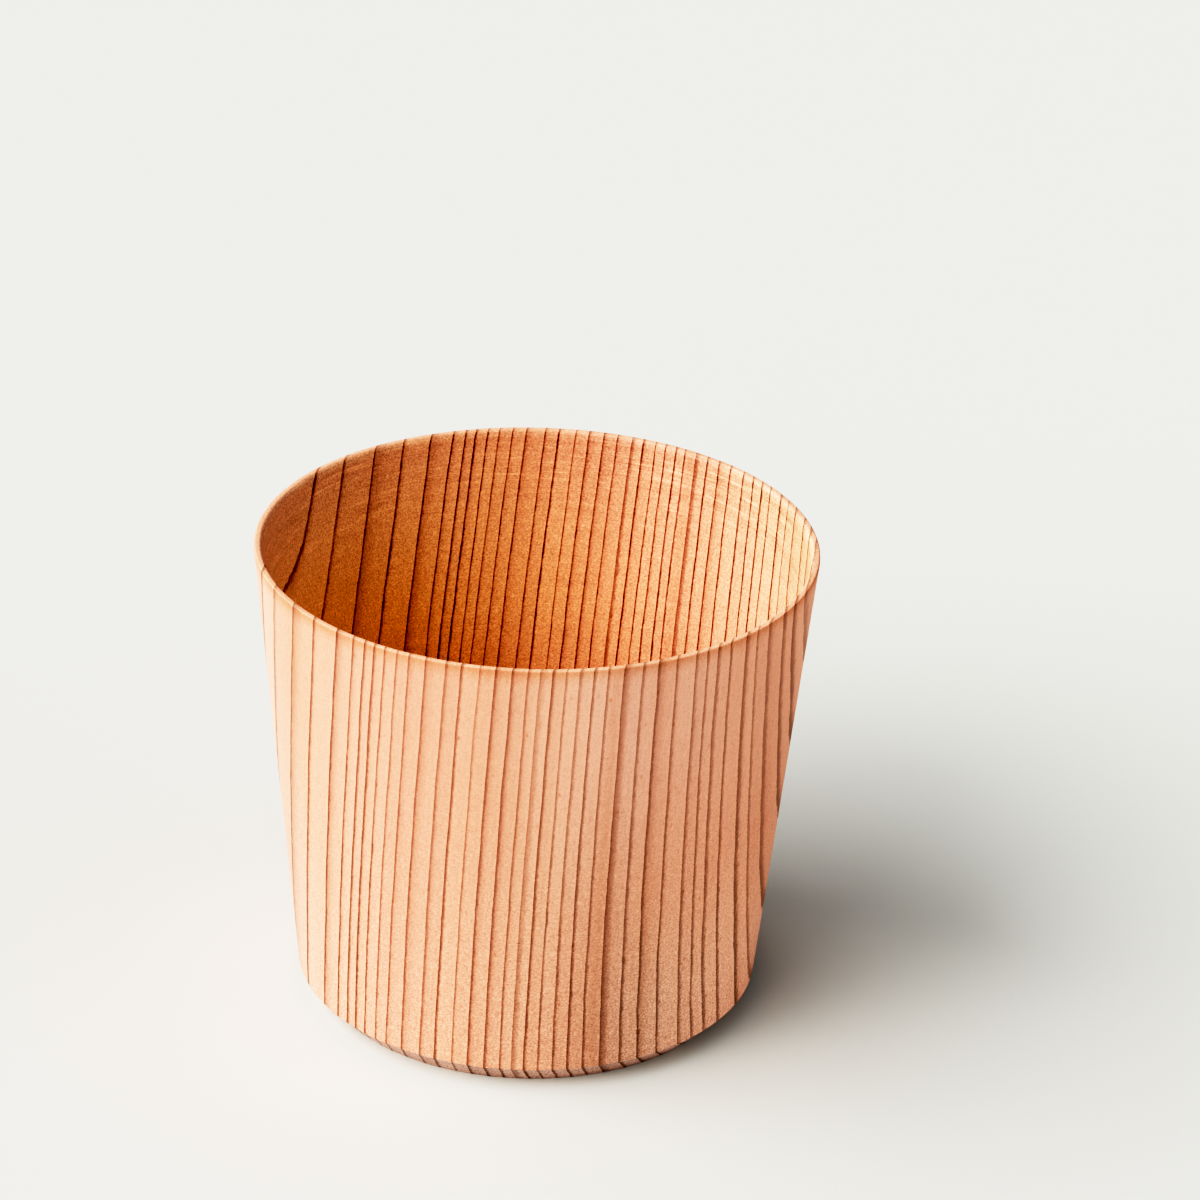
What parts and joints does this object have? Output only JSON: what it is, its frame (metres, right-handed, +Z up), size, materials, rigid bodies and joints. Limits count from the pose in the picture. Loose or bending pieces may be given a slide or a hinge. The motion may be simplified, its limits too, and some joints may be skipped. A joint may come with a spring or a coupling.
{
  "type": "sake cup",
  "caption": "Small tapered drinking cup turned from straight-grained cedar, with a thin rim, a bevelled foot ring and a separate floor board wedged in the bore.",
  "frame": {"origin": "centre of the foot, on the surface that the cup stands on", "axes": "+Z up along the turning axis, towards the mouth; +X and +Y are free, because the cup is round"},
  "size_m": [0.06, 0.06, 0.0525],
  "materials": {
    "wall_wood": "fine-turned cedar with upright grain and a thin matt clear finish",
    "floor_wood": "planed cedar board with flat grain and a thin matt clear finish"
  },
  "bodies": {
    "root": {"cup_wall": "wall_wood", "bottom_disc": "floor_wood"}
  },
  "joints": []
}
